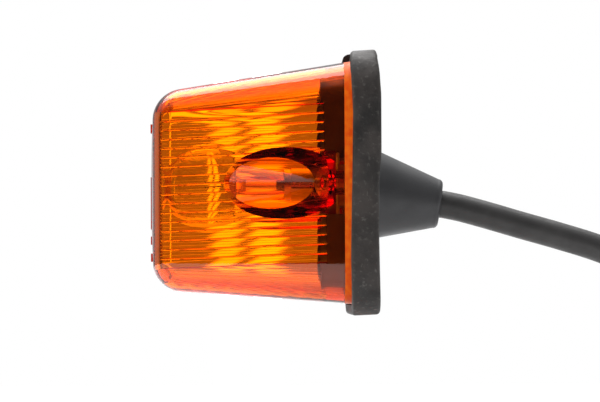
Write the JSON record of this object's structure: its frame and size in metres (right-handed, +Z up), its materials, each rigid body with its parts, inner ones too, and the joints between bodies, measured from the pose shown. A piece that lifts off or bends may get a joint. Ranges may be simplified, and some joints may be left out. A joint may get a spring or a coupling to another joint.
{
  "type": "vehicle indicator lamp",
  "caption": "Boxy amber indicator lamp with a fluted tapered lens, two screw wells, a black rubber gasket, a bayonet bulb inside and a lead in a cone-shaped boot.",
  "frame": {"origin": "middle of the line between the two fixing screws, in the plane of the gasket's rear face", "axes": "+Y along the lamp's axis into the vehicle, with the lens towards -Y; +X along the line of the two screws; +Z up"},
  "size_m": [0.1491, 0.2334, 0.1094],
  "materials": {
    "amber_plastic": "clear amber acrylic, glossy outside, fluted inside",
    "gasket_rubber": "matt black rubber with a little dust",
    "black_plastic": "moulded black plastic",
    "boot_rubber": "satin dark grey rubber",
    "plated_steel": "zinc plated sheet",
    "rivet_metal": "formed rivets",
    "bronze": "spring bronze strip",
    "brown_board": "laminated board",
    "bulb_brass": "nickel washed brass cap",
    "clear_glass": "thin clear glass",
    "filament_wire": "drawn wire",
    "black_glass": "glossy black insulator",
    "solder": "tinned metal",
    "terminal_brass": "tinned brass",
    "brown_wire": "brown core insulation",
    "black_wire": "black core insulation",
    "lead_jacket": "dark grey flexible jacket",
    "tie_plastic": "black nylon strap"
  },
  "bodies": {
    "root": {"lens": "amber_plastic", "gasket": "gasket_rubber", "base_plate": "black_plastic", "cable_boot": "boot_rubber", "bulb_holder": "plated_steel", "holder_bracket": "plated_steel", "bracket_rivets": "rivet_metal", "contact_leaf": "bronze", "leaf_block": "brown_board", "leaf_rivet": "rivet_metal", "bulb_cap": "bulb_brass", "bulb_glass": "clear_glass", "bulb_stem": "clear_glass", "bulb_filament": "filament_wire", "bulb_insulator": "black_glass", "bulb_contact": "solder", "live_terminal": "terminal_brass", "earth_terminal": "terminal_brass", "wire_live": "brown_wire", "wire_earth": "black_wire", "cable_grip": "plated_steel", "cable_inner": "lead_jacket", "cable": "lead_jacket", "cable_coil": "lead_jacket", "cable_tie": "tie_plastic", "cable_end": "lead_jacket", "core_live_end": "brown_wire", "core_earth_end": "black_wire", "core_ferrules": "solder"}
  },
  "joints": []
}
